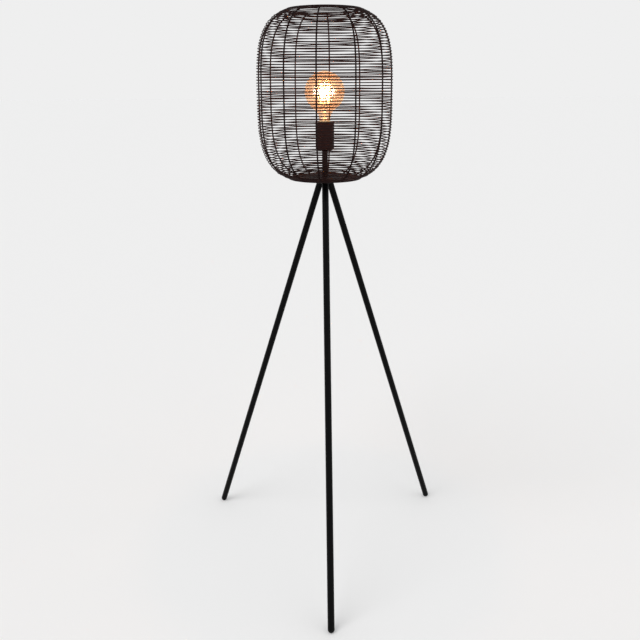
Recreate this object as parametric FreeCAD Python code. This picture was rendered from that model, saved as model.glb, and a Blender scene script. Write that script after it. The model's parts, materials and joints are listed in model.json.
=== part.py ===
"""Floor lamp: a barrel-shaped cage of welded wire on a tripod of straight tubes.

Millimetres, +Z up, floor at Z = 0, front towards -Y. The origin is the middle of the
lamp's footprint, so the axis of the cage stands a little behind it.
"""
import FreeCAD
import Part
import os
from math import acos, cos, hypot, pi, radians, sin

# Driving dimensions
OVERALL_HEIGHT = 1387.0
CAGE_RADIUS = 160.2         # waist of the cage, to the middle of its hoops
CAGE_HEIGHT = 388.0         # between the planes where the outline meets the two rims
LOWER_SQUARENESS = 3.4      # exponents of the superellipse that the outline follows
UPPER_SQUARENESS = 3.6
RIM_RADIUS = 87.0
RIM_WIRE = 5.0
RIB_WIRE = 3.0
HOOP_WIRE = 2.4
HOOP_COUNT = 68
HOOP_ZONES = 4
RIB_AZIMUTHS = (-8, 24, 54, 84, 114, 144, 174, 207, 237, 264, 292, 324)
HALF_FLATS = 7              # straight stretches of the outline from the waist to a rim
WELD = 0.25                 # how far two welded wires sink into each other

FOOT_CIRCLE = 351.0         # radius through the middles of the three rest faces
LEG_DIAMETER = 16.0
LEG_WALL = 1.2
LEG_TOP_RADIUS = 13.9       # from the lamp's axis to a leg's axis at its seat on the hub
LEG_PLUG_LENGTH = 20.0
STUD_DIAMETER = 8.0
STUD_LENGTH = 16.0
FOOT_DOME_HEIGHT = 7.2      # middle of the dome above the floor
FOOT_PLUG_LENGTH = 18.0
FIT = 0.1                   # radial play of a piece that slides into another

PLATE_THICKNESS = 2.0
PLATE_LAP = 0.5             # how far the plate's edge sinks into the lower rim
HUB_DIAMETER = 46.0
HUB_EDGE = 8.0
NIPPLE_DIAMETER = 10.0
NIPPLE_BORE = 7.0
NUT_FLATS = 17.0            # across the lock nut's flats
NUT_THICKNESS = 3.5
STEM_DIAMETER = 14.0
STEM_LENGTH = 64.0

COVER_DIAMETER = 45.0
COVER_LENGTH = 68.0
COVER_WALL = 1.0
COVER_ROUND = 8.0           # radius of the cover's lower edge
COVER_FLOOR = 1.5           # thickness of the cover's floor
SKIRT_BORE = 26.0           # room for the nipple and the wires under the lampholder's body
WEB_THICKNESS = 8.0         # between that room and the well of the screw shell
SHELL_WALL = 0.5
CONTACT_RISE = 4.2          # from the floor of the well up to the centre contact
CONTACT_WIDTH = 6.0
CONTACT_THICKNESS = 0.5
SCREW_SPREAD = 7.5
SCREW_HEAD = (3.0, 2.4)     # radius and height
SHELL_BORE = 27.8           # screw shell of the lampholder
SHELL_DEPTH = 25.5
MOUTH_LIP = 1.5             # from the cover's mouth down to the screw shell

BULB_DIAMETER = 95.0
BULB_LENGTH = 141.0
CAP_DIAMETER = 26.2
CAP_LENGTH = 21.5
CAP_WALL = 0.4
NECK_DEPTH = 6.0            # how far the glass and its foot reach down inside the cap
INSULATOR_LENGTH = 4.0
TIP_LENGTH = 1.5
GLASS_WALL = 0.8
MOUNT_LENGTH = 26.0         # glass foot that carries the filament frame
FILAMENT_COUNT = 8
FILAMENT_LENGTH = 56.0
FILAMENT_CIRCLE = 10.5
FILAMENT_WIDTH = 2.2
FRAME_DISC = 0.6            # thickness of the frame's discs
BULB_PLAY = 0.3             # between the bulb's pieces that part while it is screwed out

CABLE_LEG = "rear_right"    # the leg that the cable runs down in
WIRE_WAY = 4.4
GROMMET_HEIGHT = 62.0
GROMMET_DIAMETER = 9.6
GROMMET_FLANGE = 1.2
GROMMET_NECK = 6.4
GROMMET_BORE = 4.0

TURNING_FLATS = 20          # facets round a turned piece
LEG_FLATS = 16
SMALL_FLATS = 12

# Heights that follow from them
RIM_RISE = 0.5 * RIM_WIRE + 0.5 * (RIM_WIRE - HOOP_WIRE)
WAIST = OVERALL_HEIGHT - RIM_RISE - 0.5 * CAGE_HEIGHT
PLATE_BOTTOM = WAIST - 0.5 * CAGE_HEIGHT - 0.5 * PLATE_THICKNESS
PLATE_TOP = PLATE_BOTTOM + PLATE_THICKNESS
COVER_BOTTOM = PLATE_TOP + STEM_LENGTH
COVER_TOP = COVER_BOTTOM + COVER_LENGTH
SHELL_TOP = COVER_TOP - MOUTH_LIP
SHELL_BOTTOM = SHELL_TOP - SHELL_DEPTH
CONTACT_TOP = SHELL_BOTTOM + CONTACT_RISE
TIP_BOTTOM = CONTACT_TOP + BULB_PLAY
CAP_BOTTOM = TIP_BOTTOM + TIP_LENGTH + INSULATOR_LENGTH + BULB_PLAY
CAP_TOP = CAP_BOTTOM + CAP_LENGTH
GLOBE_MIDDLE = TIP_BOTTOM + BULB_LENGTH - 0.5 * BULB_DIAMETER

# The legs: the same straight line, three times round the axis
LEG_AZIMUTHS = {"front": 0, "rear_right": 120, "rear_left": 240}
SEAT_HEIGHT = PLATE_BOTTOM - HUB_EDGE - 4.0
LEG_SLOPE = (FOOT_CIRCLE - LEG_TOP_RADIUS) / (SEAT_HEIGHT - FOOT_DOME_HEIGHT)
LEG_LENGTH = hypot(FOOT_CIRCLE - LEG_TOP_RADIUS, SEAT_HEIGHT - FOOT_DOME_HEIGHT)
FRONT_REACH = FOOT_CIRCLE + 0.5 * LEG_DIAMETER
REAR_REACH = FOOT_CIRCLE * cos(radians(60)) + 0.5 * LEG_DIAMETER
AXIS_OFFSET = FreeCAD.Vector(0, 0.5 * (FRONT_REACH - REAR_REACH), 0)
UP = FreeCAD.Vector(0, 0, 1)


def outward(azimuth):
    """Level unit vector at an azimuth in degrees, counted from the front towards +X."""
    return FreeCAD.Vector(sin(radians(azimuth)), -cos(radians(azimuth)), 0)


def on_axis(height):
    return UP * height


def at(radius, azimuth, height):
    return outward(azimuth) * radius + on_axis(height)


def even_azimuths(count):
    return [360.0 * step / count for step in range(count)]


def flat_face(corners):
    """Flat face through corners, leaving out a corner that repeats the one before."""
    loop = [c for c, before in zip(corners, corners[-1:] + corners[:-1]) if not c.isEqual(before, 1e-6)]
    return Part.Face(Part.makePolygon(loop + loop[:1]))


def turned(profile, azimuths=None):
    """Facetted solid turned from a closed outline of (radius, height) points."""
    azimuths = azimuths or even_azimuths(TURNING_FLATS)
    faces = []
    for this, following in zip(azimuths, azimuths[1:] + azimuths[:1]):
        for (r0, z0), (r1, z1) in zip(profile, profile[1:] + profile[:1]):
            if r0 or r1:
                faces.append(flat_face([at(r0, this, z0), at(r0, following, z0),
                                        at(r1, following, z1), at(r1, this, z1)]))
    solid = Part.Solid(Part.Shell(faces))
    if solid.Volume < 0:
        solid.reverse()
    return solid


def tube_profile(inner, outer, bottom, top):
    return [(inner, bottom), (outer, bottom), (outer, top), (inner, top)]


def arc_profile(centre, radius, start, end, steps):
    """Points on an arc in the (radius, height) plane, angles in degrees from level."""
    angles = [radians(start + (end - start) * step / steps) for step in range(steps + 1)]
    return [(centre[0] + radius * cos(a), centre[1] + radius * sin(a)) for a in angles]


# Cage ----------------------------------------------------------------------------------

def half_outline(squareness):
    """Radius and distance from the waist of the outline's corners, from the waist to a rim."""
    narrowing = (RIM_RADIUS / CAGE_RADIUS) ** squareness
    reach = 0.5 * CAGE_HEIGHT / (1 - narrowing) ** (1 / squareness)
    turns = [acos(narrowing ** 0.5) * step / HALF_FLATS for step in range(HALF_FLATS + 1)]
    return [(CAGE_RADIUS * cos(turn) ** (2 / squareness), reach * sin(turn) ** (2 / squareness))
            for turn in turns]


def cage_outline():
    """Corners of the outline that the hoops lie on, from the lower rim to the upper."""
    lower = [(radius, WAIST - fall) for radius, fall in half_outline(LOWER_SQUARENESS)]
    upper = [(radius, WAIST + rise) for radius, rise in half_outline(UPPER_SQUARENESS)]
    return lower[::-1] + upper[1:]


def unit_normal(start, end):
    """Unit vector that points out of the cage, square to the line from start to end."""
    run, rise = end[0] - start[0], end[1] - start[1]
    length = hypot(run, rise)
    return rise / length, -run / length


def shifted(point, normal, distance):
    return point[0] + normal[0] * distance, point[1] + normal[1] * distance


def parallel_line(points, distance):
    """The outline moved outwards by a distance, corner by corner."""
    before = points[:1] + points[:-1]
    after = points[1:] + points[-1:]
    return [shifted(point, unit_normal(first, last), distance)
            for first, point, last in zip(before, points, after)]


def lengthened(points, extra):
    """The line with both its ends run on straight by some extra length."""
    def run_on(end, inner):
        length = hypot(end[0] - inner[0], end[1] - inner[1])
        return tuple(e + (e - i) * extra / length for e, i in zip(end, inner))
    return [run_on(points[0], points[1])] + points[1:-1] + [run_on(points[-1], points[-2])]


def hoop_share(azimuth):
    """Distance from the axis to a facetted hoop, as a share of its corners' radius."""
    half_flat = 180.0 / TURNING_FLATS
    return cos(radians(half_flat)) / cos(radians(azimuth % (2 * half_flat) - half_flat))


def cage_rib(azimuth):
    """Rib inside the hoops, bent to the outline in one upright plane."""
    outline = lengthened(cage_outline(), 0.5 * RIM_WIRE)
    outer_side = WELD - 0.5 * HOOP_WIRE
    loop = parallel_line(outline, outer_side) + parallel_line(outline, outer_side - RIB_WIRE)[::-1]
    sideways = outward(azimuth + 90) * RIB_WIRE
    share = hoop_share(azimuth)
    face = flat_face([at(radius * share, azimuth, height) - sideways * 0.5 for radius, height in loop])
    return face.extrude(sideways)


def wire_section(middle, normal, corners, reach, width):
    """Section of a ring of wire, with one corner towards the ribs."""
    along = (-normal[1], normal[0])
    points = []
    for corner in range(corners):
        angle = pi + 2 * pi * corner / corners
        inwards = shifted(middle, normal, reach * cos(angle))
        points.append(shifted(inwards, along, width * sin(angle)))
    return points


def cage_hoop(middle, normal):
    """Hoop with a three-cornered section as deep as the wire and of the wire's area."""
    reach = HOOP_WIRE / 1.5
    half_base = 0.25 * pi * HOOP_WIRE
    centre = shifted(middle, normal, reach - 0.5 * HOOP_WIRE)
    return turned(wire_section(centre, normal, 3, reach, half_base / sin(pi / 3)))


def hoop_places():
    """Middle and outward normal of each hoop, evenly spaced along the outline."""
    outline = cage_outline()
    spans = list(zip(outline[:-1], outline[1:]))
    lengths = [hypot(end[0] - start[0], end[1] - start[1]) for start, end in spans]
    pitch = sum(lengths) / (HOOP_COUNT + 1)
    places = []
    passed = 0.0
    for (start, end), length in zip(spans, lengths):
        while len(places) < HOOP_COUNT and (len(places) + 1) * pitch <= passed + length:
            share = ((len(places) + 1) * pitch - passed) / length
            middle = tuple(s + (e - s) * share for s, e in zip(start, end))
            places.append((middle, unit_normal(start, end)))
        passed += length
    return places


def cage_rim(end, neighbour):
    """Thicker rim wire across the rib ends, at one end of the outline."""
    normal = unit_normal(end, neighbour)
    if normal[0] < 0:
        normal = (-normal[0], -normal[1])
    middle = shifted(end, normal, 0.5 * (RIM_WIRE - HOOP_WIRE))
    return turned(wire_section(middle, normal, 6, 0.5 * RIM_WIRE, 0.5 * RIM_WIRE))


def cage_base_plate():
    edge = RIM_RADIUS - 0.5 * RIM_WIRE + PLATE_LAP
    hole = 0.5 * NIPPLE_DIAMETER + FIT
    return turned(tube_profile(hole, edge, PLATE_BOTTOM, PLATE_TOP))


# Tripod --------------------------------------------------------------------------------

def leg_direction(azimuth):
    """Unit vector down along a leg."""
    return (outward(azimuth) * LEG_SLOPE - UP).normalize()


def placed(solid, start, direction):
    """Solid moved so that its own origin lies at the start and its +Z runs along a direction."""
    turn = FreeCAD.Rotation(UP, direction)
    solid.Placement = FreeCAD.Placement(start, turn)
    return solid


def rod(start, direction, radius, length):
    """Facetted rod for studs, drillings and other small pieces."""
    profile = [(0, 0), (radius, 0), (radius, length), (0, length)]
    return placed(turned(profile, even_azimuths(SMALL_FLATS)), start, direction)


def leg_seat(azimuth):
    return at(LEG_TOP_RADIUS, azimuth, SEAT_HEIGHT)


def wire_way():
    """Drilling from the hub's bore, out and down through the hollow stud of the cable's leg."""
    azimuth = LEG_AZIMUTHS[CABLE_LEG]
    rise = 0.5 * (PLATE_BOTTOM - SEAT_HEIGHT) + 2
    bend = leg_seat(azimuth) - leg_direction(azimuth) * rise
    axis_end = on_axis(bend.z)
    level = rod(axis_end, outward(azimuth), WIRE_WAY / 2, (bend - axis_end).Length + 1)
    return level.fuse(rod(bend, leg_direction(azimuth), WIRE_WAY / 2, rise + 2 * STUD_LENGTH))


def tripod_hub():
    """Round block under the plate, with a slanting seat and a threaded stud for each leg."""
    height = PLATE_BOTTOM - SEAT_HEIGHT + LEG_TOP_RADIUS * LEG_SLOPE
    bottom = PLATE_BOTTOM - height
    radius = 0.5 * HUB_DIAMETER
    block = turned([(0, bottom), (radius, bottom), (radius, PLATE_BOTTOM), (0, PLATE_BOTTOM)])
    studs = []
    for azimuth in LEG_AZIMUTHS.values():
        down = leg_direction(azimuth)
        block = block.cut(rod(leg_seat(azimuth), down, HUB_DIAMETER, HUB_DIAMETER))
        root = leg_seat(azimuth) - down * (0.5 * STUD_LENGTH)
        studs.append(rod(root, down, 0.5 * STUD_DIAMETER - FIT, 1.5 * STUD_LENGTH))
    bore = rod(on_axis(bottom), UP, 0.5 * (NIPPLE_DIAMETER + FIT), height)
    return block.fuse(studs).cut([bore, wire_way()]).removeSplitter()


def leg_tube(azimuth):
    """Straight tube with a tapped plug welded into its upper end."""
    outer = 0.5 * LEG_DIAMETER
    tapping = 0.5 * STUD_DIAMETER
    profile = [(tapping, 0), (outer, 0), (outer, LEG_LENGTH), (outer - LEG_WALL, LEG_LENGTH),
               (outer - LEG_WALL, LEG_PLUG_LENGTH), (tapping, LEG_PLUG_LENGTH)]
    return placed(turned(profile, even_azimuths(LEG_FLATS)), leg_seat(azimuth), leg_direction(azimuth))


def foot_cap(azimuth):
    """Plastic glide: a plug inside the tube and a dome below it, flat where it rests."""
    radius = 0.5 * LEG_DIAMETER
    plug = radius - LEG_WALL - 2 * FIT
    dome = arc_profile((0, 0), radius, 0, 90, 4)
    profile = [(0, -FOOT_PLUG_LENGTH), (plug - 1, -FOOT_PLUG_LENGTH), (plug, 1 - FOOT_PLUG_LENGTH),
               (plug, 0)] + dome[:-1] + [(0, radius)]
    middle = at(FOOT_CIRCLE, azimuth, FOOT_DOME_HEIGHT)
    cap = placed(turned(profile, even_azimuths(SMALL_FLATS)), middle, leg_direction(azimuth))
    room = 4 * LEG_DIAMETER
    corner = at(FOOT_CIRCLE, azimuth, 0) - FreeCAD.Vector(0.5 * room, 0.5 * room, 0)
    return cap.common(Part.makeBox(room, room, room, corner))


def outlet_middle():
    """Middle of the cable outlet, on the axis of the leg that the cable runs in."""
    share = (SEAT_HEIGHT - GROMMET_HEIGHT) / (SEAT_HEIGHT - FOOT_DOME_HEIGHT)
    azimuth = LEG_AZIMUTHS[CABLE_LEG]
    return leg_seat(azimuth) + leg_direction(azimuth) * (share * LEG_LENGTH)


def outlet_direction():
    """Level, square to the leg and towards the lamp's back."""
    return outward(LEG_AZIMUTHS[CABLE_LEG] + 90)


def leg_with_outlet():
    """The cable's leg, with a hole through one side of its wall."""
    hole = rod(outlet_middle(), outlet_direction(), 0.5 * GROMMET_NECK, LEG_DIAMETER)
    return leg_tube(LEG_AZIMUTHS[CABLE_LEG]).cut(hole)


def cable_grommet():
    """Rubber bush in the cable outlet, its flange saddled on the round of the tube."""
    middle, sideways = outlet_middle(), outlet_direction()
    radius = 0.5 * LEG_DIAMETER
    azimuth = LEG_AZIMUTHS[CABLE_LEG]
    envelope = turned([(0, 0), (radius, 0), (radius, LEG_LENGTH), (0, LEG_LENGTH)], even_azimuths(LEG_FLATS))
    flange = rod(middle, sideways, 0.5 * GROMMET_DIAMETER, radius + GROMMET_FLANGE)
    saddle = flange.cut(placed(envelope, leg_seat(azimuth), leg_direction(azimuth)))
    neck_start = middle + sideways * (radius - LEG_WALL - 1)
    neck = rod(neck_start, sideways, 0.5 * (GROMMET_NECK - FIT), LEG_WALL + 2)
    bore = rod(middle, sideways, 0.5 * GROMMET_BORE, LEG_DIAMETER)
    return saddle.fuse(neck).cut(bore).removeSplitter()


# Stem and lampholder -------------------------------------------------------------------

def threaded_nipple():
    """Hollow threaded rod that draws the hub, plate, stem and lampholder together."""
    bottom = PLATE_BOTTOM - HUB_EDGE
    top = COVER_BOTTOM + 8
    profile = tube_profile(0.5 * NIPPLE_BORE, 0.5 * NIPPLE_DIAMETER, bottom, top)
    return turned(profile, even_azimuths(SMALL_FLATS))


def stem_sleeve():
    profile = tube_profile(0.5 * NIPPLE_DIAMETER + FIT, 0.5 * STEM_DIAMETER, PLATE_TOP, COVER_BOTTOM)
    return turned(profile, even_azimuths(SMALL_FLATS))


def lampholder_lock_nut():
    """Thin hexagon nut on the nipple, on the floor of the cover."""
    bottom = COVER_BOTTOM + COVER_FLOOR
    top = bottom + NUT_THICKNESS
    corner = 0.5 * NUT_FLATS / cos(pi / 6)
    hexagon = turned([(0, bottom), (corner, bottom), (corner, top), (0, top)], even_azimuths(6))
    return hexagon.cut(rod(on_axis(bottom), UP, 0.5 * (NIPPLE_DIAMETER + FIT), NUT_THICKNESS))


def lampholder_cover():
    """Drawn steel cup, open upwards, with a rounded lower edge."""
    outer = 0.5 * COVER_DIAMETER
    inner = outer - COVER_WALL
    hole = 0.5 * NIPPLE_DIAMETER + FIT
    floor = COVER_BOTTOM + COVER_FLOOR
    rounded = arc_profile((outer - COVER_ROUND, COVER_BOTTOM + COVER_ROUND), COVER_ROUND, -90, 0, 3)
    inside = [(inner, COVER_TOP), (inner, COVER_BOTTOM + COVER_ROUND), (inner - 5, floor), (hole, floor)]
    return turned([(hole, COVER_BOTTOM)] + rounded + [(outer, COVER_TOP)] + inside)


def lampholder_body():
    """Insulating body: a skirt that stands in the cover, a web, and the well of the shell."""
    outer = 0.5 * COVER_DIAMETER - COVER_WALL - FIT
    skirt = 0.5 * SKIRT_BORE
    well = 0.5 * SHELL_BORE + SHELL_WALL
    floor = COVER_BOTTOM + COVER_FLOOR
    web = SHELL_BOTTOM - WEB_THICKNESS
    return turned([(skirt, floor), (outer - 5, floor), (outer, COVER_BOTTOM + COVER_ROUND + 1),
                   (outer, COVER_TOP - 1), (outer - 1, COVER_TOP), (well, COVER_TOP), (well, SHELL_BOTTOM),
                   (0, SHELL_BOTTOM), (0, web), (skirt, web)])


def lampholder_screw_shell():
    inner = 0.5 * SHELL_BORE
    return turned(tube_profile(inner, inner + SHELL_WALL, SHELL_BOTTOM, SHELL_TOP))


def lampholder_centre_contact():
    """Sprung brass tongue, bent up from the floor of the well."""
    thick, rise = CONTACT_THICKNESS, CONTACT_RISE
    upper = [(-11, thick), (-4.5, thick), (-2.5, rise), (4, rise)]
    lower = [(4, rise - thick), (-2.1, rise - thick), (-4.1, 0), (-11, 0)]
    corners = [FreeCAD.Vector(x, -0.5 * CONTACT_WIDTH, SHELL_BOTTOM + z) for x, z in upper + lower]
    return flat_face(corners).extrude(FreeCAD.Vector(0, CONTACT_WIDTH, 0))


def lampholder_terminal_screws():
    """Two pan-head screws under the web, which hold the wires' ends."""
    web = SHELL_BOTTOM - WEB_THICKNESS
    return [rod(FreeCAD.Vector(x, 0, web), -UP, *SCREW_HEAD) for x in (-SCREW_SPREAD, SCREW_SPREAD)]


# Bulb ----------------------------------------------------------------------------------

def globe_profile(wall):
    """Outline of the glass from its crown down to the neck, a wall's depth inside."""
    radius = 0.5 * BULB_DIAMETER - wall
    ball = arc_profile((0, GLOBE_MIDDLE), radius, 90, -52, 7)[1:]
    neck = 0.5 * CAP_DIAMETER + 0.3 - wall
    flare = [(neck + 8, CAP_TOP + 18), (neck + 3, CAP_TOP + 9), (neck, CAP_TOP)]
    return [(0, GLOBE_MIDDLE + radius)] + ball + flare


def bulb_globe():
    """Hollow glass, with a narrower neck that is cemented inside the cap."""
    neck = 0.5 * CAP_DIAMETER - CAP_WALL - BULB_PLAY
    end = CAP_TOP - NECK_DEPTH
    outside = globe_profile(0)
    inside = globe_profile(GLASS_WALL)[:-1]
    return turned(outside + [(neck, CAP_TOP), (neck, end), (neck - GLASS_WALL, end),
                             (neck - GLASS_WALL, CAP_TOP + 2)] + inside[::-1])


def bulb_cap():
    """Screw cap of the bulb: a thin shell with an inward lip at its lower edge."""
    outer = 0.5 * CAP_DIAMETER
    inner = outer - CAP_WALL
    return turned([(outer - 3, CAP_BOTTOM), (outer - 1.5, CAP_BOTTOM), (outer, CAP_BOTTOM + 3),
                   (outer, CAP_TOP), (inner, CAP_TOP), (inner, CAP_BOTTOM + 3.2),
                   (outer - 3, CAP_BOTTOM + 0.8)])


def bulb_glass_mount():
    """Glass foot inside the neck, which carries the filament frame."""
    neck = 0.5 * CAP_DIAMETER - CAP_WALL - BULB_PLAY - GLASS_WALL
    end = CAP_TOP - NECK_DEPTH
    top = end + MOUNT_LENGTH
    return turned([(0, end), (neck, end), (neck, end + 1), (6, end + 7), (3, end + 14), (3, top), (0, top)])


def filament_bottom():
    return GLOBE_MIDDLE - 0.5 * FILAMENT_LENGTH


def bulb_filament_frame():
    """Rod with a small disc at each end of the filaments."""
    start = CAP_TOP - NECK_DEPTH + MOUNT_LENGTH
    bottom = filament_bottom()
    top = bottom + FILAMENT_LENGTH
    core = rod(on_axis(start), UP, 0.5 * FILAMENT_WIDTH, top + FRAME_DISC - start)
    discs = [rod(on_axis(level), UP, FILAMENT_CIRCLE + 1, FRAME_DISC) for level in (bottom - FRAME_DISC, top)]
    return core.fuse(discs).removeSplitter()


def bulb_filaments():
    """Upright glowing sticks between the discs of the frame."""
    width = FILAMENT_WIDTH
    sticks = []
    for azimuth in even_azimuths(FILAMENT_COUNT):
        corner = at(FILAMENT_CIRCLE, azimuth, filament_bottom()) - FreeCAD.Vector(width, width, 0) * 0.5
        sticks.append(Part.makeBox(width, width, FILAMENT_LENGTH, corner))
    return sticks


def bulb_cap_insulator():
    """Black glass ring between the cap and the tip."""
    bottom = TIP_BOTTOM + TIP_LENGTH
    top = bottom + INSULATOR_LENGTH
    return turned([(0, bottom), (5, bottom), (0.5 * CAP_DIAMETER - 2, top - 0.6),
                   (0.5 * CAP_DIAMETER - 2, top), (0, top)], even_azimuths(SMALL_FLATS))


def bulb_tip_contact():
    top = TIP_BOTTOM + TIP_LENGTH
    return turned([(0, TIP_BOTTOM), (3, TIP_BOTTOM), (4.5, top - 0.4), (4.5, top), (0, top)],
                  even_azimuths(SMALL_FLATS))


# Export --------------------------------------------------------------------------------

def cage_pieces():
    outline = cage_outline()
    pieces = {"cage_bottom_rim": cage_rim(outline[0], outline[1]),
              "cage_top_rim": cage_rim(outline[-1], outline[-2]),
              "cage_base_plate": cage_base_plate()}
    for number, azimuth in enumerate(RIB_AZIMUTHS, 1):
        pieces[f"cage_rib_{number:02d}"] = cage_rib(azimuth)
    hoops = [cage_hoop(middle, normal) for middle, normal in hoop_places()]
    zone_size = HOOP_COUNT // HOOP_ZONES
    for zone in range(HOOP_ZONES):
        pieces[f"cage_hoops_zone_{zone + 1}"] = hoops[zone * zone_size:(zone + 1) * zone_size]
    return pieces


def tripod_pieces():
    pieces = {"tripod_hub": tripod_hub(), "cable_grommet": cable_grommet()}
    for name, azimuth in LEG_AZIMUTHS.items():
        pieces[f"leg_{name}"] = leg_tube(azimuth)
        pieces[f"foot_{name}"] = foot_cap(azimuth)
    pieces[f"leg_{CABLE_LEG}"] = leg_with_outlet()
    return pieces


def light_pieces():
    builders = (threaded_nipple, stem_sleeve, lampholder_lock_nut, lampholder_cover, lampholder_body,
                lampholder_screw_shell, lampholder_centre_contact, lampholder_terminal_screws,
                bulb_globe, bulb_cap, bulb_glass_mount, bulb_filament_frame, bulb_filaments,
                bulb_cap_insulator, bulb_tip_contact)
    return {build.__name__: build() for build in builders}


def export(name, piece):
    shape = Part.makeCompound(piece) if isinstance(piece, list) else piece
    shape.translate(AXIS_OFFSET)
    shape.exportStep(f"parts/{name}.step")


os.makedirs("parts", exist_ok=True)
for group in (cage_pieces(), tripod_pieces(), light_pieces()):
    for node, solids in group.items():
        export(node, solids)
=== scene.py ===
"""Looks of the wire cage floor lamp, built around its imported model.

Shapes are worked out in millimetres from the lamp's own axis, with the floor at Z = 0 and
azimuths in degrees from the front (-Y) towards +X. A profile is a list of (radius, height)
points, and a part is a pair of points and faces.
"""
import json
import random
from bisect import bisect
from math import acos, cos, hypot, pi, radians, sin

import bmesh
import bpy
from mathutils import Matrix, Vector


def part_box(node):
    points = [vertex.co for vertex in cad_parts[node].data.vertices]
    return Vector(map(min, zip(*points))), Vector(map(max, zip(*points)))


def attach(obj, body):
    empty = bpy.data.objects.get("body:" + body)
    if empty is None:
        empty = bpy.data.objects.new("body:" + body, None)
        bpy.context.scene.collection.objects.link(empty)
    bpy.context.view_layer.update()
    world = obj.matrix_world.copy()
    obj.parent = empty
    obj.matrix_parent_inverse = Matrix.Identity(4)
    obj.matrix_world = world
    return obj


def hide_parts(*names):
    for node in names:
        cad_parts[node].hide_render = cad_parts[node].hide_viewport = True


# Dimensions shared with the model's source
AXIS_Y = 87.75              # the lamp's axis stands this far behind the frame's origin
WAIST = 1189.2
CAGE_RADIUS = 160.2
CAGE_HEIGHT = 388.0
LOWER_SQUARENESS = 3.4      # exponents of the cage's outline below and above the waist
UPPER_SQUARENESS = 3.6
RIM_RADIUS = 87.0
RIM_WIRE = 5.0
RIB_WIRE = 3.0
HOOP_WIRE = 2.4
HOOPS = 68
ZONES = 4
RIB_AZIMUTHS = (-8, 24, 54, 84, 114, 144, 174, 207, 237, 264, 292, 324)
WELD = 0.25                 # how deep the hoops sink into the ribs
PLATE_THICKNESS = 2.0
PLATE_PRESS = 0.5           # how far the plate's edge is pressed into the lower rim
HUB_RADIUS = 23.0
HUB_HEIGHT = 24.0
HUB_BORE = 5.05
LEGS = {"front": 0, "rear_right": 120, "rear_left": 240}
LEG_TOP_RADIUS = 13.9
LEG_RADIUS = 8.0
LEG_BORE = 6.8
LEG_PLUG_BORE = 4.0
LEG_PLUG_LENGTH = 20.0
FOOT_CIRCLE = 351.0
FOOT_MIDDLE = 7.2
FOOT_PLUG_RADIUS = 6.6
FOOT_PLUG_LENGTH = 18.0
ROD_RADIUS = 5.0
ROD_BORE = 3.5
ROD_REACH = 8.0             # how far the rod stands past the plate and into the cover
ROD_HOLE = 5.1
STEM_RADIUS = 7.0
STEM_LENGTH = 64.0
COVER_RADIUS = 22.5
COVER_HEIGHT = 68.0
COVER_WALL = 1.0
COVER_FLOOR = 1.5
SOCKET_RADIUS = 14.4
SKIRT_RADIUS = 13.0
THREAD_PITCH = 3.629
THREAD_DEPTH = 0.75
SCREW_WALL = 0.35
SHELL_RADIUS = 14.35
SHELL_HEIGHT = 25.5
CAP_RADIUS = 13.1
CAP_HEIGHT = 21.5
INSULATOR_RADIUS = 11.1
INSULATOR_HEIGHT = 4.0
GLOBE_RADIUS = 47.5
NECK_RADIUS = 13.4
COLLAR_RADIUS = 12.4        # the glass inside the cap
COLLAR_DEPTH = 6.0
GLASS_WALL = 0.8
FILAMENTS = 8
FILAMENT_RADIUS = 1.1
FILAMENT_CIRCLE = 10.5
FILAMENT_LENGTH = 56.0

# Sizes that follow the photograph instead of the source
RIM_SEEN = 3.6
RIB_SEEN = 3.6
FILAMENT_GLOW = 49.0        # the rest, at the upper end, is bare wire

# Heights that follow from them
PLATE_BOTTOM = WAIST - 0.5 * CAGE_HEIGHT - 0.5 * PLATE_THICKNESS
PLATE_TOP = PLATE_BOTTOM + PLATE_THICKNESS
SEAT_HEIGHT = PLATE_BOTTOM - 0.5 * HUB_HEIGHT
HUB_BOTTOM = SEAT_HEIGHT - 0.5 * HUB_HEIGHT
COVER_BOTTOM = PLATE_TOP + STEM_LENGTH
COVER_INSIDE = COVER_BOTTOM + COVER_FLOOR
COVER_TOP = COVER_BOTTOM + COVER_HEIGHT
SHELL_TOP = COVER_TOP - 1.5
SHELL_BOTTOM = SHELL_TOP - SHELL_HEIGHT
CAP_BOTTOM = SHELL_BOTTOM + 10.3
CAP_TOP = CAP_BOTTOM + CAP_HEIGHT
INSULATOR_BOTTOM = CAP_BOTTOM - 0.3 - INSULATOR_HEIGHT
GLOBE_MIDDLE = SHELL_BOTTOM + 98.0
FILAMENT_BOTTOM = GLOBE_MIDDLE - 0.5 * FILAMENT_LENGTH
FILAMENT_TOP = FILAMENT_BOTTOM + FILAMENT_LENGTH

# Unevenness of the hand-welded hoops, at most
WELD_ERROR = 0.45
HOOP_BOW = 0.7
HOOP_SLACK = 0.8

BACKGROUND = 0.863          # linear grey of the photograph's background
NOISE_RANGE = (0.3, 0.7)    # where most values of a noise texture lie

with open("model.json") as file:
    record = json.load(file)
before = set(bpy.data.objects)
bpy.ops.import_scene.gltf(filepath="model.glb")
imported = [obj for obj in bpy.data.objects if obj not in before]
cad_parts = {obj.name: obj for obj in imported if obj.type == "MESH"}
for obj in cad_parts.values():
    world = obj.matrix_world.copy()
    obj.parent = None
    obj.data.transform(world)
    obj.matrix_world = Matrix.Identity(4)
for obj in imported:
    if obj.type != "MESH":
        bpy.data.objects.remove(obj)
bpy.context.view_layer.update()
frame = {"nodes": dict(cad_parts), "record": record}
scene = bpy.context.scene
node_slots = {row["node"]: row["material_slot"] for row in frame["record"]["subparts"]}
chance = random.Random(11)


# Places and directions ---------------------------------------------------------------

def outward(azimuth):
    """Level unit vector away from the axis."""
    return Vector((sin(radians(azimuth)), -cos(radians(azimuth)), 0))


def at(radius, azimuth, height):
    """Point round the axis."""
    return outward(azimuth) * radius + Vector((0, 0, height))


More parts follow.
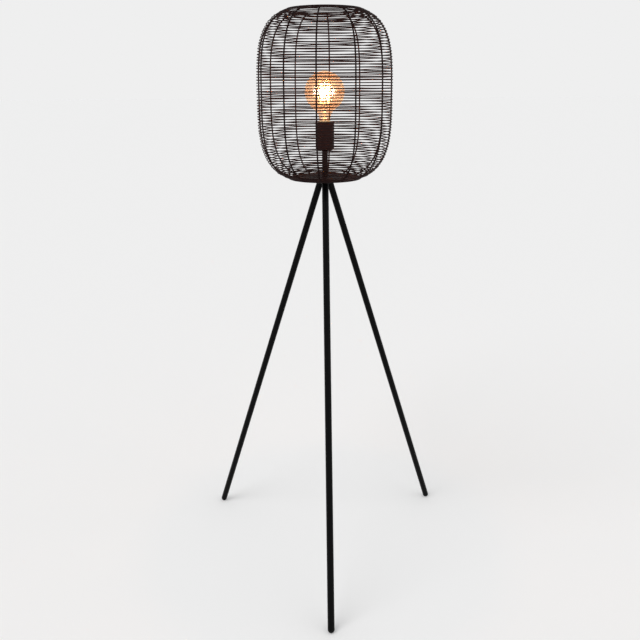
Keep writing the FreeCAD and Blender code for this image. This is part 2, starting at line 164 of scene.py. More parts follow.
def in_metres(point):
    """Place in the frame of a point given from the lamp's axis."""
    return Vector((point[0] / 1000, (point[1] + AXIS_Y) / 1000, point[2] / 1000))


def leg_seat(azimuth):
    """Middle of the flat of the hub that a leg is screwed against."""
    return at(LEG_TOP_RADIUS, azimuth, SEAT_HEIGHT)


def leg_direction(azimuth):
    """Unit vector down along a leg."""
    return (at(FOOT_CIRCLE, azimuth, FOOT_MIDDLE) - leg_seat(azimuth)).normalized()


LEG_LENGTH = (at(FOOT_CIRCLE, 0, FOOT_MIDDLE) - leg_seat(0)).length


def along_leg(azimuth, start):
    """Matrix that turns +Z down along a leg, from a start point on it."""
    turn = Vector((0, 0, 1)).rotation_difference(leg_direction(azimuth)).to_matrix().to_4x4()
    return Matrix.Translation(start) @ turn


# Profiles ----------------------------------------------------------------------------

def ring_profile(bore, radius, low, high):
    """Square-edged disc, plate or tube."""
    return [(bore, low), (radius, low), (radius, high), (bore, high)]


def rounded(corner, before, after, radius):
    """Points of a small round at a corner between its two neighbours."""
    corner, before, after = Vector(corner), Vector(before), Vector(after)
    start = corner + (before - corner).normalized() * radius
    end = corner + (after - corner).normalized() * radius
    steps = 4
    points = []
    for step in range(steps + 1):
        t = step / steps
        points.append(tuple(start * (1 - t) ** 2 + corner * (2 * t * (1 - t)) + end * t ** 2))
    return points


def softened(profile, radius):
    """A closed profile with each corner rounded a little, except on the axis."""
    result = []
    for index, corner in enumerate(profile):
        before, after = profile[index - 1], profile[(index + 1) % len(profile)]
        if corner[0] == 0:
            result.append(corner)
        else:
            room = [0.4 * hypot(corner[0] - p[0], corner[1] - p[1]) for p in (before, after)]
            result += rounded(corner, before, after, min(radius, *room))
    return result


def arc(centre, radius, start, end, steps):
    """Part of a circle between two angles in degrees."""
    angles = [radians(start + (end - start) * step / steps) for step in range(steps + 1)]
    return [(centre[0] + radius * cos(a), centre[1] + radius * sin(a)) for a in angles]


def bezier(points, steps):
    """Cubic curve with two ends and the two control points between them."""
    a, b, c, d = (Vector(p) for p in points)
    curve = []
    for step in range(steps + 1):
        t = step / steps
        s = 1 - t
        curve.append(tuple(a * s ** 3 + b * (3 * s * s * t) + c * (3 * s * t * t) + d * t ** 3))
    return curve


# Parts -------------------------------------------------------------------------------

def grid_faces(rows, columns, closed_rows=False, first=0):
    """Quads between rings of points, where the last ring may join the first."""
    faces = []
    for row in range(rows if closed_rows else rows - 1):
        below, above = first + row * columns, first + (row + 1) % rows * columns
        for column in range(columns):
            after = (column + 1) % columns
            faces.append((below + column, below + after, above + after, above + column))
    return faces


def turned(profile, segments):
    """A closed profile turned round the axis."""
    points = [at(radius, 360.0 * step / segments, height)
              for radius, height in profile for step in range(segments)]
    return points, grid_faces(len(profile), segments, closed_rows=True)


def swept(centres, sides, radius, closed=False):
    """Round wire along centres, whose sides give the two unit vectors of each section."""
    corners = 8
    points = []
    for centre, (one, other) in zip(centres, sides):
        for step in range(corners):
            turn = 2 * pi * step / corners
            points.append(centre + one * (radius * cos(turn)) + other * (radius * sin(turn)))
    faces = grid_faces(len(centres), corners, closed_rows=closed)
    if not closed:
        faces += [tuple(range(corners))[::-1], tuple(range(len(points) - corners, len(points)))]
    return points, faces


def ring_of_wire(radius_at, height_at, normal, wire, segments=120):
    """Ring of wire whose radius and height are functions of the azimuth."""
    across, rise = normal
    centres, sides = [], []
    for step in range(segments):
        azimuth = 360.0 * step / segments
        centres.append(at(radius_at(azimuth), azimuth, height_at(azimuth)))
        sides.append((outward(azimuth) * across + Vector((0, 0, rise)),
                      Vector((0, 0, across)) - outward(azimuth) * rise))
    return swept(centres, sides, 0.5 * wire, closed=True)


def level_ring(radius, height, wire, segments):
    """Plain ring of wire."""
    return ring_of_wire(lambda azimuth: radius, lambda azimuth: height, (1, 0), wire, segments)


def joined(parts):
    """Several parts as one."""
    points, faces = [], []
    for some_points, some_faces in parts:
        shift = len(points)
        points += some_points
        faces += [tuple(index + shift for index in face) for face in some_faces]
    return points, faces


def moved(part, matrix):
    """A part in another place."""
    points, faces = part
    return [matrix @ point for point in points], faces


# Materials ---------------------------------------------------------------------------

class Shader:
    """A node material built step by step in object coordinates, in metres."""

    def __init__(self, name):
        self.material = bpy.data.materials.new(name)
        self.material.use_nodes = True
        self.tree = self.material.node_tree
        self.surface = self.tree.nodes["Principled BSDF"]
        self.place = self.tree.nodes.new("ShaderNodeTexCoord").outputs["Object"]

    def link(self, source, target):
        self.tree.links.new(source, target)

    def noise(self, scale, detail):
        """Soft random pattern, finer as the scale grows."""
        noise = self.tree.nodes.new("ShaderNodeTexNoise")
        noise.inputs["Scale"].default_value = scale
        noise.inputs["Detail"].default_value = detail
        self.link(self.place, noise.inputs["Vector"])
        return noise.outputs["Fac"]

    def spread(self, value, low, high):
        """A noise stretched to run from low to high."""
        scale = self.tree.nodes.new("ShaderNodeMapRange")
        limits = (*NOISE_RANGE, low, high)
        for name, limit in zip(("From Min", "From Max", "To Min", "To Max"), limits):
            scale.inputs[name].default_value = limit
        self.link(value, scale.inputs["Value"])
        return scale.outputs["Result"]

    def colours(self, value, dark, light):
        """A noise turned into the colours between two."""
        ramp = self.tree.nodes.new("ShaderNodeValToRGB")
        first, last = ramp.color_ramp.elements
        first.position, last.position = NOISE_RANGE
        first.color, last.color = (*dark, 1), (*light, 1)
        self.link(value, ramp.inputs["Fac"])
        return ramp.outputs["Color"]

    def bump(self, value, depth):
        """Fine relief of a depth in millimetres."""
        bump = self.tree.nodes.new("ShaderNodeBump")
        bump.inputs["Distance"].default_value = depth / 1000
        self.link(value, bump.inputs["Height"])
        self.link(bump.outputs["Normal"], self.surface.inputs["Normal"])

    def set(self, **sockets):
        """Numbers that are the same all over the surface."""
        for name, value in sockets.items():
            self.surface.inputs[name.replace("_", " ")].default_value = value


def solid_material(name, dark, light, roughness, bump=(900, 0.02), **sockets):
    """Opaque finish: mottled colour, uneven roughness and a relief of a scale and depth."""
    colour_scale, roughness_scale = 120, 276
    relief_scale, relief_depth = bump
    shader = Shader(name)
    shader.link(shader.colours(shader.noise(colour_scale, 4), dark, light),
                shader.surface.inputs["Base Color"])
    shader.link(shader.spread(shader.noise(roughness_scale, 2), *roughness),
                shader.surface.inputs["Roughness"])
    shader.bump(shader.noise(relief_scale, 2), relief_depth)
    shader.set(**sockets)
    return shader.material


def glass_material(name, tint, dark, light, scale, share, **sockets):
    """Tinted see-through wall with a share of glossy glass in it."""
    shader = Shader(name)
    shader.link(shader.colours(shader.noise(scale, 2), dark, light),
                shader.surface.inputs["Base Color"])
    shader.set(**sockets)
    clear = shader.tree.nodes.new("ShaderNodeBsdfTransparent")
    clear.inputs["Color"].default_value = (*tint, 1)
    mix = shader.tree.nodes.new("ShaderNodeMixShader")
    mix.inputs["Fac"].default_value = share
    shader.link(clear.outputs[0], mix.inputs[1])
    shader.link(shader.surface.outputs[0], mix.inputs[2])
    shader.link(mix.outputs[0], shader.tree.nodes["Material Output"].inputs["Surface"])
    return shader.material


def glowing_material(name, dark, light, strength):
    """Filament that gives off light of its own colour."""
    shader = Shader(name)
    colour = shader.colours(shader.noise(200, 2), dark, light)
    shader.link(colour, shader.surface.inputs["Base Color"])
    shader.link(colour, shader.surface.inputs["Emission Color"])
    shader.set(Roughness=0.5, Emission_Strength=strength)
    return shader.material


finishes = {
    # Painted bulb glow: the cage, base plate, stem and cover are dark brown-black paint, and the
    # extra red in their colours is painted light standing in for the warm glow the bulb sheds on
    # them inside the shade.
    "cage_black": dict(dark=(0.013, 0.0062, 0.006), light=(0.019, 0.0088, 0.0085),
                       roughness=(0.42, 0.55), Specular_IOR_Level=0.05),
    "base_plate_black": dict(dark=(0.018, 0.009, 0.008), light=(0.026, 0.012, 0.011),
                             roughness=(0.40, 0.55), Specular_IOR_Level=0.08),
    "leg_black": dict(dark=(0.0010, 0.0010, 0.0011), light=(0.0018, 0.0018, 0.0020),
                      roughness=(0.26, 0.36), Specular_IOR_Level=0.07),
    "foot_plastic": dict(dark=(0.0015, 0.0015, 0.0015), light=(0.003, 0.003, 0.003),
                         roughness=(0.45, 0.6), bump=(1500, 0.03), Specular_IOR_Level=0.10),
    "grommet_rubber": dict(dark=(0.012, 0.012, 0.012), light=(0.02, 0.02, 0.02),
                           roughness=(0.65, 0.85), bump=(1800, 0.03), Specular_IOR_Level=0.3),
    "zinc_steel": dict(dark=(0.42, 0.43, 0.44), light=(0.62, 0.62, 0.60),
                       roughness=(0.25, 0.45), Metallic=1.0),
    # The red in the stem and cover colours is partly painted bulb glow, on top of their dark
    # brown-black paint.
    "stem_black": dict(dark=(0.022, 0.010, 0.008), light=(0.032, 0.014, 0.011),
                       roughness=(0.35, 0.5), Specular_IOR_Level=0.1),
    "cover_black": dict(dark=(0.030, 0.010, 0.008), light=(0.042, 0.014, 0.011),
                        roughness=(0.35, 0.5), Specular_IOR_Level=0.1),
    "lampholder_plastic": dict(dark=(0.010, 0.010, 0.010), light=(0.018, 0.018, 0.018),
                               roughness=(0.4, 0.55), Specular_IOR_Level=0.4),
    "brass": dict(dark=(0.62, 0.42, 0.16), light=(0.80, 0.58, 0.26),
                  roughness=(0.22, 0.4), Metallic=1.0),
    "cap_brass": dict(dark=(0.98, 0.72, 0.40), light=(1.0, 0.80, 0.50),
                      roughness=(0.40, 0.55), Metallic=0.5),
    "filament_wire": dict(dark=(0.45, 0.43, 0.40), light=(0.6, 0.58, 0.54),
                          roughness=(0.3, 0.45), Metallic=1.0),
    "insulator_glass": dict(dark=(0.004, 0.004, 0.006), light=(0.01, 0.008, 0.012),
                            roughness=(0.06, 0.14), bump=(400, 0.02)),
    "solder": dict(dark=(0.42, 0.42, 0.43), light=(0.62, 0.62, 0.62),
                   roughness=(0.3, 0.55), bump=(500, 0.08), Metallic=1.0),
}
materials = {name: solid_material(name, **finish) for name, finish in finishes.items()}
materials["amber_glass"] = glass_material(
    "amber_glass", tint=(0.99, 0.89, 0.80), dark=(0.94, 0.68, 0.38), light=(1.0, 0.76, 0.44),
    scale=30, share=0.05, Roughness=0.36, IOR=1.45, Transmission_Weight=0.86,
    Coat_Weight=1.0, Coat_Roughness=0.12)
materials["clear_glass"] = glass_material(
    "clear_glass", tint=(0.97, 0.95, 0.90), dark=(0.9, 0.86, 0.78), light=(1.0, 0.97, 0.9),
    scale=60, share=0.3, Roughness=0.08)
materials["filament_glow"] = glowing_material(
    "filament_glow", dark=(1.0, 0.60, 0.27), light=(1.0, 0.66, 0.33), strength=3.4)
for node, cad in frame["nodes"].items():
    cad.data.materials.clear()
    cad.data.materials.append(materials[node_slots[node]])


def add_piece(name, part, material, nodes, body="lamp", sharp=35, finish=None):
    """New piece that stands for CAD nodes, with clean normals and sharp edges kept."""
    points, faces = part
    merged_below = 1e-7     # metres
    mesh = bpy.data.meshes.new(name)
    mesh.from_pydata([in_metres(point) for point in points], [], faces)
    sculpt = bmesh.new()
    sculpt.from_mesh(mesh)
    bmesh.ops.remove_doubles(sculpt, verts=sculpt.verts, dist=merged_below)
    if finish:
        finish(sculpt)
    bmesh.ops.recalc_face_normals(sculpt, faces=sculpt.faces)
    for face in sculpt.faces:
        face.smooth = True
    sculpt.to_mesh(mesh)
    sculpt.free()
    mesh.set_sharp_from_angle(angle=radians(sharp))
    piece = bpy.data.objects.new(name, mesh)
    scene.collection.objects.link(piece)
    mesh.materials.append(materials[material])
    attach(piece, body)
    if nodes:
        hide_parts(*nodes)
    return piece


# Cage --------------------------------------------------------------------------------

def half_outline(squareness):
    """Radius and distance from the waist of the line that the hoops' middles follow."""
    narrowing = (RIM_RADIUS / CAGE_RADIUS) ** squareness
    reach = 0.5 * CAGE_HEIGHT / (1 - narrowing) ** (1 / squareness)
    steps = 600
    turns = [acos(narrowing ** 0.5) * step / steps for step in range(steps + 1)]
    return [(CAGE_RADIUS * cos(turn) ** (2 / squareness), reach * sin(turn) ** (2 / squareness))
            for turn in turns]


def outline():
    """The whole line in many short stretches, from the lower rim to the upper."""
    lower = [(radius, WAIST - fall) for radius, fall in half_outline(LOWER_SQUARENESS)]
    upper = [(radius, WAIST + rise) for radius, rise in half_outline(UPPER_SQUARENESS)]
    return lower[::-1] + upper[1:]


def measured(points):
    """Length run up to each point."""
    total, lengths = 0.0, [0.0]
    for before, after in zip(points, points[1:]):
        total += hypot(after[0] - before[0], after[1] - before[1])
        lengths.append(total)
    return lengths


OUTLINE = outline()
LENGTHS = measured(OUTLINE)
SPANS = sorted(azimuth % 360 for azimuth in RIB_AZIMUTHS)


def on_outline(distance):
    """Point at a distance along the outline, and the unit normal that points outwards."""
    low = min(bisect(LENGTHS, distance) - 1, len(LENGTHS) - 2)
    start, end = OUTLINE[low], OUTLINE[low + 1]
    span = LENGTHS[low + 1] - LENGTHS[low]
    share = (distance - LENGTHS[low]) / span
    point = tuple(s + (e - s) * share for s, e in zip(start, end))
    return point, ((end[1] - start[1]) / span, -(end[0] - start[0]) / span)


def span_of(azimuth):
    """Number of the gap between ribs that an azimuth lies in, and the share of it passed."""
    place = (bisect(SPANS, azimuth) - 1) % len(SPANS)
    width = (SPANS[(place + 1) % len(SPANS)] - SPANS[place]) % 360
    return place, (azimuth - SPANS[place]) % 360 / width


def hoop(distance):
    """One level hoop, welded a little unevenly and bowed a little between the ribs."""
    welds = [chance.uniform(-WELD_ERROR, WELD_ERROR) for _ in RIB_AZIMUTHS]
    bows = [chance.uniform(-HOOP_BOW, HOOP_BOW) for _ in RIB_AZIMUTHS]
    slack = [chance.uniform(0.0, HOOP_SLACK) for _ in RIB_AZIMUTHS]
    (radius, height), normal = on_outline(distance)

    def height_at(azimuth):
        place, share = span_of(azimuth)
        weld = welds[place] * (1 - share) + welds[(place + 1) % len(welds)] * share
        return height + weld + bows[place] * sin(pi * share)

    def radius_at(azimuth):
        place, share = span_of(azimuth)
        return radius - slack[place] * sin(pi * share) ** 2

    return ring_of_wire(radius_at, height_at, normal, HOOP_WIRE)


def rib(azimuth):
    """One rib inside the hoops, in its upright plane, that runs on to the rims."""
    depth = WELD - 0.5 * HOOP_WIRE - 0.5 * RIB_WIRE
    steps = 90
    centres, sides = [], []
    for step in range(steps + 1):
        (radius, height), (across, rise) = on_outline(LENGTHS[-1] * step / steps)
        centres.append(at(radius + across * depth, azimuth, height + rise * depth))
        sides.append((outward(azimuth) * across + Vector((0, 0, rise)), outward(azimuth + 90)))
    for end, inner in ((0, 1), (-1, -2)):
        centres[end] += (centres[end] - centres[inner]).normalized() * 0.5 * RIM_WIRE
    return swept(centres, sides, 0.5 * RIB_SEEN)


def rim(node):
    """Rim wire on the inner side of its node, as thin as the photograph shows it."""
    low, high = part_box(node)
    above = 1000 * high.z > WAIST
    height = 1000 * low.z + 0.5 * RIM_SEEN if above else 1000 * high.z - 0.5 * RIM_SEEN
    radius = 500 * (high.x - low.x) - RIM_WIRE + 0.5 * RIM_SEEN
    return level_ring(radius, height, RIM_SEEN, 160)


def add_cage():
    """Hoops zone by zone from the bottom up, ribs, rims and base plate."""
    pitch = LENGTHS[-1] / (HOOPS + 1)
    size = HOOPS // ZONES
    for zone in range(ZONES):
        hoops = [hoop(pitch * (zone * size + number + 1)) for number in range(size)]
        add_piece(f"round_hoops_zone_{zone + 1}", joined(hoops), "cage_black",
                  [f"cage_hoops_zone_{zone + 1}"])
    for number, azimuth in enumerate(RIB_AZIMUTHS, 1):
        add_piece(f"round_rib_{number:02d}", rib(azimuth), "cage_black",
                  [f"cage_rib_{number:02d}"])
    for place in ("top", "bottom"):
        add_piece(f"round_{place}_rim", rim(f"cage_{place}_rim"), "cage_black",
                  [f"cage_{place}_rim"])
    edge = RIM_RADIUS - 0.5 * RIM_WIRE + PLATE_PRESS
    plate = softened(ring_profile(ROD_HOLE, edge, PLATE_BOTTOM, PLATE_TOP), 0.3)
    add_piece("round_base_plate", turned(plate, 128), "base_plate_black", ["cage_base_plate"])


# Tripod ------------------------------------------------------------------------------

def cut_away(sculpt, point, direction):
    """Everything past a plane taken off, and the cut closed."""
    geometry = sculpt.verts[:] + sculpt.edges[:] + sculpt.faces[:]
    cut = bmesh.ops.bisect_plane(sculpt, geom=geometry, plane_co=in_metres(point),
                                 plane_no=direction, clear_outer=True)
    edges = [part for part in cut["geom_cut"] if isinstance(part, bmesh.types.BMEdge)]
    bmesh.ops.triangle_fill(sculpt, edges=edges, use_beauty=True)


def cut_seats(sculpt):
    """A flat on the hub for each leg."""
    for azimuth in LEGS.values():
        cut_away(sculpt, leg_seat(azimuth), leg_direction(azimuth))


def cut_floor(sculpt):
    """A flat on a foot where it stands on the floor."""
    cut_away(sculpt, (0, 0, 0), Vector((0, 0, -1)))


def leg_tube():
    """Tube with the tapped plug at its top, along +Z from its seat."""
    profile = [(LEG_PLUG_BORE, 0), (LEG_RADIUS, 0), (LEG_RADIUS, LEG_LENGTH),
               (LEG_BORE, LEG_LENGTH), (LEG_BORE, LEG_PLUG_LENGTH),
               (LEG_PLUG_BORE, LEG_PLUG_LENGTH)]
    return turned(softened(profile, 0.35), 48)


def foot():
    """Glide with its plug inside the tube, a thin step at the tube's end, and a dome."""
    plug = [(0, -FOOT_PLUG_LENGTH), (FOOT_PLUG_RADIUS - 1, -FOOT_PLUG_LENGTH),
            (FOOT_PLUG_RADIUS, 1 - FOOT_PLUG_LENGTH), (FOOT_PLUG_RADIUS, 0)]
    return turned(plug + arc((0, 0), LEG_RADIUS, 0, 90, 14), 48)


def add_tripod():
    """Hub under the plate, and each leg with its foot."""
    hub = ring_profile(HUB_BORE, HUB_RADIUS, HUB_BOTTOM, PLATE_BOTTOM)
    add_piece("round_hub", turned(hub, 96), "leg_black", ["tripod_hub"], finish=cut_seats)
    for name, azimuth in LEGS.items():
        add_piece(f"round_leg_{name}", moved(leg_tube(), along_leg(azimuth, leg_seat(azimuth))),
                  "leg_black", [f"leg_{name}"])
        middle = at(FOOT_CIRCLE, azimuth, FOOT_MIDDLE)
        add_piece(f"round_foot_{name}", moved(foot(), along_leg(azimuth, middle)),
                  "foot_plastic", [f"foot_{name}"], finish=cut_floor)


# Stem and lampholder -----------------------------------------------------------------

def threaded(radius, bottom, top, plain_bottom, plain_top):
    """Thin shell with a rolled round thread that fades out between two plain ends."""
    segments, rows_per_turn, fading = 64, 12, 2
    rows = int((top - bottom) / THREAD_PITCH * rows_per_turn)
    heights = [bottom + (top - bottom) * row / rows for row in range(rows + 1)]

    def skin(crest):
        points = []
        for height in heights:
            share = min(1.0, max(0.0, (height - plain_bottom) / fading),
                        max(0.0, (plain_top - height) / fading))
            turn = 2 * pi * (height - SHELL_BOTTOM) / THREAD_PITCH
            for step in range(segments):
                wave = cos(turn - 2 * pi * step / segments)
                depth = THREAD_DEPTH * (1 - wave) * 0.5 * share
                points.append(at(crest - depth, 360.0 * step / segments, height))
        return points

    outside, inside = skin(radius), skin(radius - SCREW_WALL)
    count, shift = len(heights), len(outside)
    faces = grid_faces(count, segments) + grid_faces(count, segments, first=shift)
    for row in (0, count - 1):
        for step in range(segments):
            one, other = row * segments + step, row * segments + (step + 1) % segments
            faces.append((one, other, shift + other, shift + one))
    return outside + inside, faces


def threaded_rod():
    """Hollow rod with a fine thread, drawn as grooves."""
    low, high = PLATE_BOTTOM - ROD_REACH, COVER_BOTTOM + ROD_REACH
    groove, rise = 0.35, 0.5
    rows = round((high - low) / rise) + 1
    flanks = [(ROD_RADIUS - groove * (row % 2), low + rise * row) for row in range(rows)]
    return turned([(ROD_BORE, low)] + flanks + [(ROD_BORE, high)], 32)


def cover():
    """Cup with a rounded lower edge and a hole for the rod."""
    outer, inner = COVER_RADIUS, COVER_RADIUS - COVER_WALL
    outer_round, inner_round = 8, 7
    cup = [(ROD_HOLE, COVER_BOTTOM)]
    cup += arc((outer - outer_round, COVER_BOTTOM + outer_round), outer_round, -90, 0, 12)
    cup += rounded((outer, COVER_TOP), (outer, COVER_TOP - 1), (outer - 0.5, COVER_TOP), 0.4)
    cup += [(inner, COVER_TOP)]
    cup += arc((inner - inner_round, COVER_INSIDE + inner_round), inner_round, 0, -90, 10)
    return turned(cup + [(ROD_HOLE, COVER_INSIDE)], 96)


def lampholder_body():
    """Insulating body: a wall round the screw shell on a skirt, with a web between them."""
    clearance, narrowing, web = 0.1, 5, 8
    wide = COVER_RADIUS - COVER_WALL - clearance
    web_bottom = SHELL_BOTTOM - web
    body = [(SKIRT_RADIUS, COVER_INSIDE), (wide - narrowing, COVER_INSIDE),
            (wide, COVER_BOTTOM + 9),
            (wide, COVER_TOP - 1), (wide - 1, COVER_TOP), (SOCKET_RADIUS, COVER_TOP),
            (SOCKET_RADIUS, SHELL_BOTTOM), (0, SHELL_BOTTOM), (0, web_bottom),
            (SKIRT_RADIUS, web_bottom)]
    return turned(softened(body, 0.4), 96)


def add_lampholder():
    """Stem, threaded rod, cover, insulating body and screw shell."""
    stem = softened(ring_profile(ROD_HOLE, STEM_RADIUS, PLATE_TOP, COVER_BOTTOM), 0.3)
    add_piece("round_stem", turned(stem, 48), "stem_black", ["stem_sleeve"])
    add_piece("threaded_rod", threaded_rod(), "zinc_steel", ["threaded_nipple"])
    add_piece("round_cover", cover(), "cover_black", ["lampholder_cover"])
    add_piece("round_lampholder_body", lampholder_body(), "lampholder_plastic",
              ["lampholder_body"])
    shell = threaded(SHELL_RADIUS, SHELL_BOTTOM, SHELL_TOP, SHELL_BOTTOM + 1, SHELL_TOP - 1)
    add_piece("threaded_shell", shell, "brass", ["lampholder_screw_shell"])


# Bulb --------------------------------------------------------------------------------

def glass_outline(inset):
    """Outline of the glass from its crown down to the neck, a depth inside its surface."""
    last = -50              # degrees, where the ball runs over into the neck
    ball_pull, neck_pull = 13, 15
    ball = arc((0, GLOBE_MIDDLE), GLOBE_RADIUS - inset, 90, last, 40)
    start = Vector(ball[-1])
    slope = Vector((sin(radians(last)), -cos(radians(last))))
    end = Vector((NECK_RADIUS - inset, CAP_TOP))
    neck = bezier([start, start + slope * ball_pull, end + Vector((0, neck_pull)), end], 16)
    return ball + neck[1:]


def globe():
    """Blown glass whose collar stands inside the cap."""
    outer, inner = COLLAR_RADIUS, COLLAR_RADIUS - GLASS_WALL
    low = CAP_TOP - COLLAR_DEPTH
    outside = glass_outline(0) + [(outer, CAP_TOP), (outer, low)]
    inside = [(inner, low), (inner, CAP_TOP + 1)] + glass_outline(GLASS_WALL)[:-1][::-1]
    return turned(outside + inside, 96)


def screw_cap():
    """Threaded cap with a lip turned in at its lower end."""
    lip_top = CAP_BOTTOM + 2.2
    lip = [(10.1, CAP_BOTTOM), (11.6, CAP_BOTTOM), (13.0, lip_top), (12.6, CAP_BOTTOM + 2.3),
           (10.1, CAP_BOTTOM + 0.8)]
    return joined([threaded(CAP_RADIUS, lip_top, CAP_TOP, CAP_BOTTOM + 3, CAP_TOP - 3),
                   turned(softened(lip, 0.2), 64)])


def glass_mount():
    """Flared glass foot that narrows to a stalk with a round end."""
    flare, low = COLLAR_RADIUS - GLASS_WALL, CAP_TOP - COLLAR_DEPTH
    stalk = 3
    profile = [(0, low), (flare, low), (flare, low + 1)]
    profile += bezier([(flare, low + 1), (5, CAP_TOP), (3.2, CAP_TOP + 4),
                       (stalk, CAP_TOP + 10)], 12)[1:]
    return turned(profile + arc((0, CAP_TOP + 17), stalk, 0, 90, 6), 48)


def filament_frame():
    """Central rod with a spoked ring above and below the filaments."""
    rod_radius, ring_wire, spoke_radius, gap = 0.8, 0.55, 0.25, 0.3
    rod = ring_profile(0, rod_radius, CAP_TOP + 20, FILAMENT_TOP + 2 * gap)
    parts = [turned(rod, 16)]
    for level in (FILAMENT_BOTTOM - gap, FILAMENT_TOP + gap):
        parts.append(level_ring(FILAMENT_CIRCLE, level, ring_wire, 64))
        for step in range(FILAMENTS):
            azimuth = 360.0 * step / FILAMENTS
            ends = [at(radius, azimuth, level) for radius in (0.5 * rod_radius, FILAMENT_CIRCLE)]
            sides = [(Vector((0, 0, 1)), outward(azimuth + 90))] * 2
            parts.append(swept(ends, sides, spoke_radius))
    return joined(parts)


def sticks(profile):
    """A turned profile at the foot of each filament."""
    feet = [at(FILAMENT_CIRCLE, 360.0 * n / FILAMENTS, FILAMENT_BOTTOM) for n in range(FILAMENTS)]
    return joined([moved(turned(profile, 12), Matrix.Translation(place)) for place in feet])


def filaments():
    """The glowing part of each filament, a stick with round ends."""
    radius = FILAMENT_RADIUS
    return sticks(arc((0, radius), radius, -90, 0, 5)
                  + arc((0, FILAMENT_GLOW - radius), radius, 0, 90, 5))


def filament_ends():
    """The bare wire that leads from each glowing part to the upper ring."""
    return sticks(ring_profile(0, 0.35, FILAMENT_GLOW - 1, FILAMENT_LENGTH))


def insulator():
    """Dark glass cone between the cap and its tip."""
    low, high = INSULATOR_BOTTOM, INSULATOR_BOTTOM + INSULATOR_HEIGHT
    cone = [(0, low), (5, low), (INSULATOR_RADIUS, low + 3.4), (INSULATOR_RADIUS, high), (0, high)]
    return turned(softened(cone, 0.3), 64)


def solder_tip():
    """Flat drop of solder under the insulator."""
    low, high = INSULATOR_BOTTOM - 1.5, INSULATOR_BOTTOM
    drop = bezier([(0, low), (2.6, low), (4.3, high - 1.0), (4.5, high)], 8)
    return turned(drop + [(0, high)], 32)


def add_bulb():
    """Every piece of the bulb; the insulator and tip are on the body that only rises."""
    glass = add_piece("round_globe", globe(), "amber_glass", ["bulb_globe"], body="bulb", sharp=60)
    add_piece("threaded_cap", screw_cap(), "cap_brass", ["bulb_cap"], body="bulb")
    add_piece("round_glass_mount", glass_mount(), "clear_glass", ["bulb_glass_mount"], body="bulb")
    add_piece("spoked_frame", filament_frame(), "filament_wire", ["bulb_filament_frame"],
              body="bulb")
    add_piece("round_filaments", filaments(), "filament_glow", ["bulb_filaments"], body="bulb")
    add_piece("filament_ends", filament_ends(), "filament_wire", [], body="bulb")
    add_piece("round_insulator", insulator(), "insulator_glass", ["bulb_cap_insulator"],
              body="bulb_base")
    add_piece("round_tip", solder_tip(), "solder", ["bulb_tip_contact"], body="bulb_base")
    return glass


# Stage -------------------------------------------------------------------------------

def add_floor():
    """Wide plain floor of pale paper."""
    half = 60
    corners = [(-half, -half, 0), (half, -half, 0), (half, half, 0), (-half, half, 0)]
    mesh = bpy.data.meshes.new("floor")
    mesh.from_pydata(corners, [], [(0, 1, 2, 3)])
    floor = bpy.data.objects.new("floor", mesh)
    scene.collection.objects.link(floor)
    shader = Shader("floor_paper")
    shader.set(Base_Color=(0.88, 0.88, 0.88, 1), Roughness=1.0, Specular_IOR_Level=0.0)
    mesh.materials.append(shader.material)


def add_world(fill):
    """Even light all round; the camera, gloss and glass see the grey of the background."""
    world = bpy.data.worlds.new("studio")
    scene.world = world
    world.use_nodes = True
    tree = world.node_tree
    background = tree.nodes["Background"]
    background.inputs["Color"].default_value = (1, 1, 1, 1)
    path = tree.nodes.new("ShaderNodeLightPath")
    seen = path.outputs["Is Camera Ray"]
    for ray in ("Is Glossy Ray", "Is Transmission Ray"):
        either = tree.nodes.new("ShaderNodeMath")
        either.operation = "MAXIMUM"
        tree.links.new(seen, either.inputs[0])
        tree.links.new(path.outputs[ray], either.inputs[1])
        seen = either.outputs[0]
    strength = tree.nodes.new("ShaderNodeMapRange")
    strength.inputs["To Min"].default_value = fill
    strength.inputs["To Max"].default_value = BACKGROUND
    tree.links.new(seen, strength.inputs["Value"])
    tree.links.new(strength.outputs["Result"], background.inputs["Strength"])


def add_sun(name, azimuth, elevation, power, spread):
    """Soft light from afar, from an azimuth and elevation in degrees."""
    data = bpy.data.lights.new(name, "SUN")
    data.energy, data.angle = power, radians(spread)
    sun = bpy.data.objects.new(name, data)
    level, rise = cos(radians(elevation)), sin(radians(elevation))
    towards = outward(azimuth) * level + Vector((0, 0, rise))
    sun.rotation_euler = towards.to_track_quat("Z", "Y").to_euler()
    scene.collection.objects.link(sun)


def add_bulb_light(power):
    """What the filaments shed on the cage, the plate and the cover."""
    data = bpy.data.lights.new("bulb_light", "POINT")
    data.energy, data.color, data.shadow_soft_size = power, (1.0, 0.55, 0.26), 0.015
    light = bpy.data.objects.new("bulb_light", data)
    light.location = in_metres((0, 0, GLOBE_MIDDLE))
    light.visible_camera = light.visible_glossy = False
    scene.collection.objects.link(light)


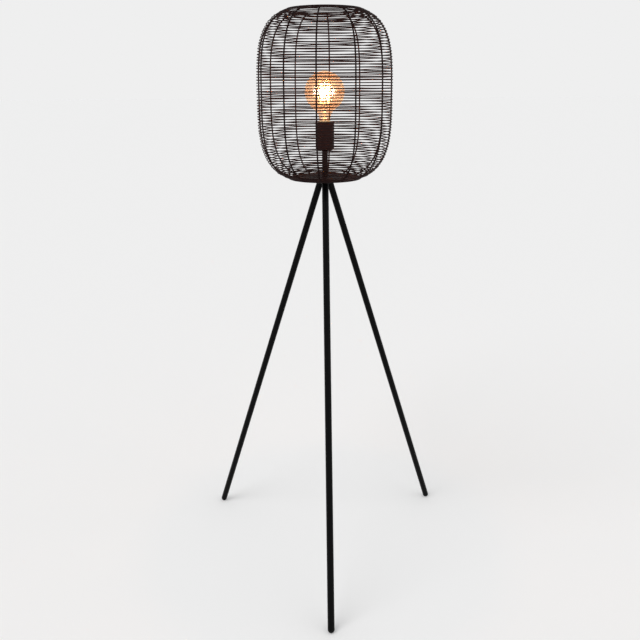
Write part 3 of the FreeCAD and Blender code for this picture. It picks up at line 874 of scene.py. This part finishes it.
def add_softbox(name, azimuth, size, power, receiver):
    """Tall studio light, level with the bulb, whose white reflection shows on the glass alone."""
    distance = 1.2
    data = bpy.data.lights.new(name, "AREA")
    data.shape = "RECTANGLE"
    data.size, data.size_y, data.energy = *size, power
    box = bpy.data.objects.new(name, data)
    turn = outward(azimuth).to_track_quat("Z", "Y").to_matrix().to_4x4()
    place = outward(azimuth) * distance + in_metres((0, 0, GLOBE_MIDDLE))
    box.matrix_world = Matrix.Translation(place) @ turn
    scene.collection.objects.link(box)
    box.visible_camera = box.visible_diffuse = False
    lit = bpy.data.collections.new(name)
    lit.objects.link(receiver)
    box.light_linking.receiver_collection = lit


def add_camera():
    """Camera at the photograph's viewing angle, looking a little down."""
    heading = -1.43                                                         # degrees
    pitch, roll = 0.236, 0.005                                              # radians
    distance, height = 1.678, 1.216                                         # metres
    focal, middle_x, middle_y, frame_size = 689.5, 325.42, 250.0, 640.0     # pixels
    ahead = -outward(heading) * cos(pitch) - Vector((0, 0, sin(pitch)))
    across = outward(heading + 90)
    up = across.cross(ahead)
    right = across * cos(roll) - up * sin(roll)
    top = across * sin(roll) + up * cos(roll)
    turn = Matrix((right, top, -ahead)).transposed().to_4x4()
    place = outward(heading) * distance + Vector((0, AXIS_Y / 1000, height))
    data = bpy.data.cameras.new("camera")
    data.sensor_width = 36.0
    data.lens = focal * data.sensor_width / frame_size
    data.shift_x = (0.5 * frame_size - middle_x) / frame_size
    data.shift_y = (middle_y - 0.5 * frame_size) / frame_size
    camera = bpy.data.objects.new("camera", data)
    camera.matrix_world = Matrix.Translation(place) @ turn
    scene.collection.objects.link(camera)
    scene.camera = camera


scene.view_settings.view_transform = "Standard"
add_camera()
add_cage()
add_tripod()
add_lampholder()
globe_piece = add_bulb()
add_floor()
add_world(fill=0.66)
add_sun("key", azimuth=-50, elevation=50, power=1.0, spread=40)
add_sun("fill", azimuth=60, elevation=35, power=0.4, spread=60)
add_softbox("left_softbox", azimuth=-58, size=(0.5, 0.7), power=300, receiver=globe_piece)
add_softbox("right_softbox", azimuth=48, size=(0.4, 0.7), power=300, receiver=globe_piece)
add_bulb_light(power=5.0)
